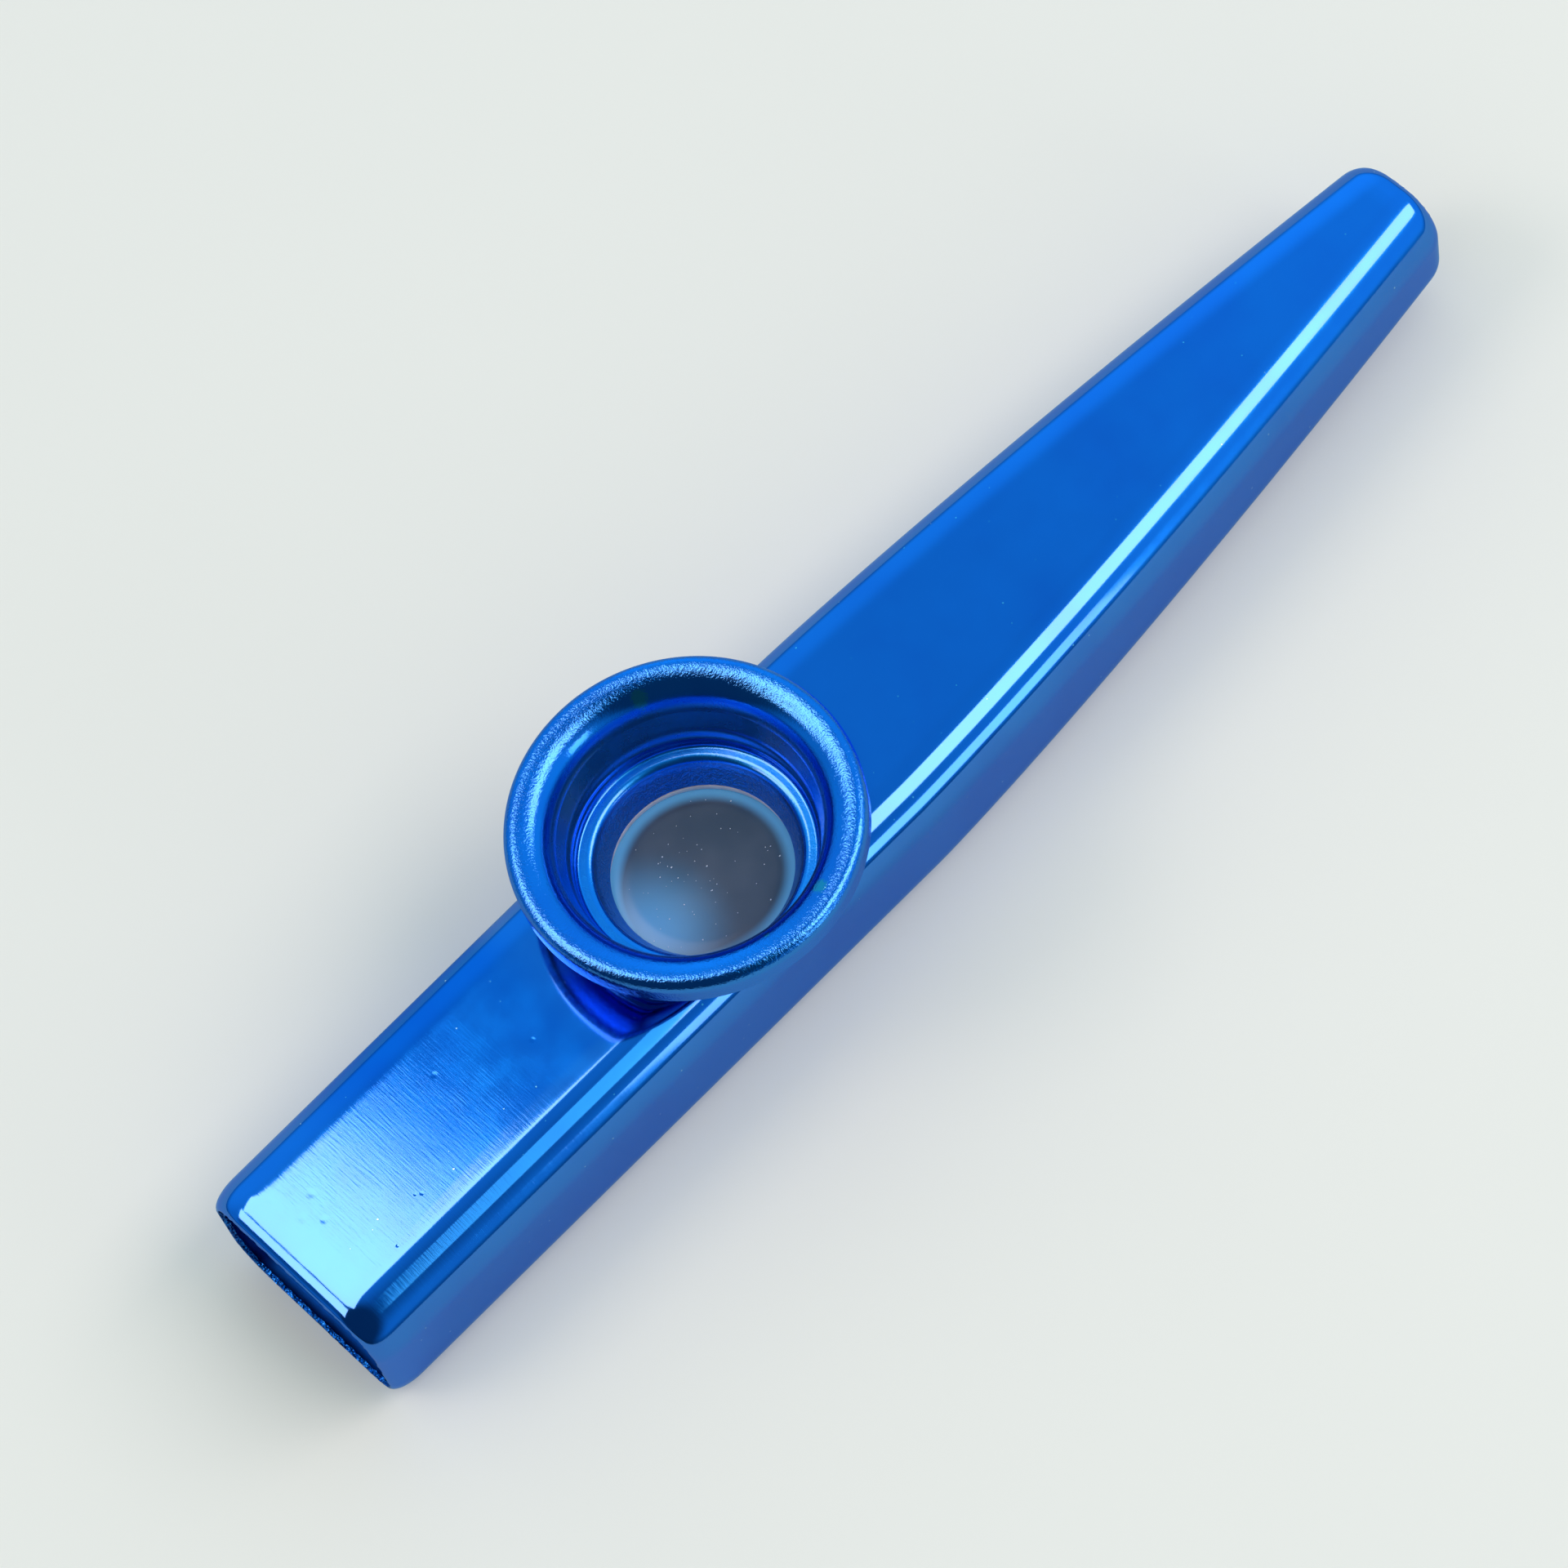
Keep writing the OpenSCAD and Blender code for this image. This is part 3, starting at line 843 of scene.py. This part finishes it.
# painted shade: every ray but the camera's sees the floor darker and bluer, standing in for its
# shadow beside the tube
colour = mix_colour(tree, (seen, "Is Camera Ray"), (0.33, 0.52, 0.61, 1), (paper_white, 2))
tree.links.new(colour.outputs[2], shader.inputs["Base Color"])
shader.inputs["Roughness"].default_value = 0.9
shader.inputs["Specular IOR Level"].default_value = 0.1
floor_mesh.materials.append(paper)

# %% Lamps
WARM, AQUA, PALE = (1.0, 0.80, 0.75), (0.25, 0.85, 0.9), (0.7, 0.80, 0.80)
HEIGHT = 0.9


def panel(name, centre, size, facing, radiance, turn=0.0, colour=WARM):
    light = bpy.data.lights.new(name, "AREA")
    light.shape = "RECTANGLE"
    light.size, light.size_y = size
    light.energy = radiance * math.pi * size[0] * size[1]
    light.color = colour
    lamp = bpy.data.objects.new(name, light)
    lamp.location = centre
    lamp.rotation_euler = (Vector(facing) - Vector(centre)).to_track_quat("-Z", "Y").to_euler()
    lamp.rotation_euler.rotate_axis("Z", math.radians(turn))
    bpy.context.scene.collection.objects.link(lamp)
    print(f"lamp {name}: radiance {radiance}")
    return lamp


def overhead(name, x, y, size, radiance, turn=0.0, colour=WARM):
    return panel(name, (x, y, HEIGHT), size, (x, y, 0), radiance, turn, colour)


far_lamp = overhead("far panel", -0.179, 0.41, (0.456, 0.52), 3.1, turn=20)
far_lamp.visible_diffuse = False
overhead("edge panel", -0.77, 0.50, (0.58, 0.52), 3.1)
overhead("near panel", 0.78, -0.50, (1.22, 0.56), 3.1)
overhead("near end panel", 0.11, -0.50, (0.12, 0.56), 1.1, colour=AQUA)
panel("low panel", (0.27, -0.95, 0.33), (0.28, 0.32), (0.05, 0.0, 0.02), 2.2, colour=PALE)

# %% World: an even room, darker behind the camera, with a soft glow beyond the tube
DARK_SIDE, GLOW_SIDE = (-0.663, -0.383, 0.643), (0.2, 0.93, 0.31)
world = bpy.data.worlds.new("room")
bpy.context.scene.world = world
world.use_nodes = True
tree = world.node_tree
tree.nodes.clear()
spot = add(tree, "ShaderNodeTexCoord")
toward = add(tree, "ShaderNodeVectorMath", {0: (spot, "Generated"), 1: DARK_SIDE},
             operation="DOT_PRODUCT")
room = ramp(tree, (toward, "Value"), 0.50, 0.80, 0.62, 0.11)
parts = add(tree, "ShaderNodeSeparateXYZ", {"Vector": (spot, "Generated")})
horizon = ramp(tree, (parts, "Z"), 0.0, 0.2, 0.4, 1.0)
right_side = ramp(tree, (parts, "X"), 0.24, 0.42, 1.0, 1.5)
room = math_node(tree, "MULTIPLY", (room, "Result"), (horizon, "Result"))
room = math_node(tree, "MULTIPLY", (room, "Value"), (right_side, "Result"))
beyond = add(tree, "ShaderNodeVectorMath", {0: (spot, "Generated"), 1: GLOW_SIDE},
             operation="DOT_PRODUCT")
glow = ramp(tree, (beyond, "Value"), 0.60, 1.0, 0.0, 0.25)
room = math_node(tree, "ADD", (room, "Value"), (glow, "Result"))
path = add(tree, "ShaderNodeLightPath")
plain = math_node(tree, "ADD", (path, "Is Camera Ray"), (path, "Is Diffuse Ray"), clamp=True)
tint = mix_colour(tree, (plain, "Value"), (0.05, 0.52, 1.0, 1), (0.93, 1.0, 0.97, 1))
on_floor = add(tree, "ShaderNodeMix",
               {"Factor": (path, "Is Diffuse Ray"), 2: (room, "Value"), 3: 0.67})
strength = add(tree, "ShaderNodeMix",
               {"Factor": (path, "Is Camera Ray"), 2: (on_floor, 0), 3: 0.80})
background = add(tree, "ShaderNodeBackground", {"Color": (tint, 2), "Strength": (strength, 0)})
add(tree, "ShaderNodeOutputWorld", {"Surface": (background, "Background")})
print("world ready")

# %% [markdown]
# Camera
#
# The camera looks down steeply from beyond the mouth, and is turned about its own axis,
# so that the tube runs from the lower left to the upper right. Its place was worked out
# from the outlines of the tube and of the turret's circles.

# %% Camera
azimuth, elevation, roll_angle = (math.radians(a) for a in (-29.01, 63.93, -17.94))
distance, target = 0.43706, Vector((-0.00547, 0.00531, 0.0))
sensor, focal_pixels, frame_pixels = 36, 6982.75, 1920
back = Vector((math.sin(azimuth) * math.cos(elevation), -math.cos(azimuth) * math.cos(elevation),
               math.sin(elevation)))
right = Vector((math.cos(azimuth), math.sin(azimuth), 0))
up = back.cross(right)
turned_right = math.cos(roll_angle) * right + math.sin(roll_angle) * up
turned_up = math.cos(roll_angle) * up - math.sin(roll_angle) * right
lens = bpy.data.cameras.new("camera")
lens.sensor_width = sensor
lens.lens = sensor * focal_pixels / frame_pixels
lens.clip_start = 0.01
camera = bpy.data.objects.new("camera", lens)
pose = Matrix((turned_right, turned_up, back)).transposed().to_4x4()
pose.translation = target + back * distance
camera.matrix_world = pose
bpy.context.scene.collection.objects.link(camera)
bpy.context.scene.camera = camera
bpy.context.scene.view_settings.view_transform = "Standard"
print("camera at", [round(c, 4) for c in camera.location])
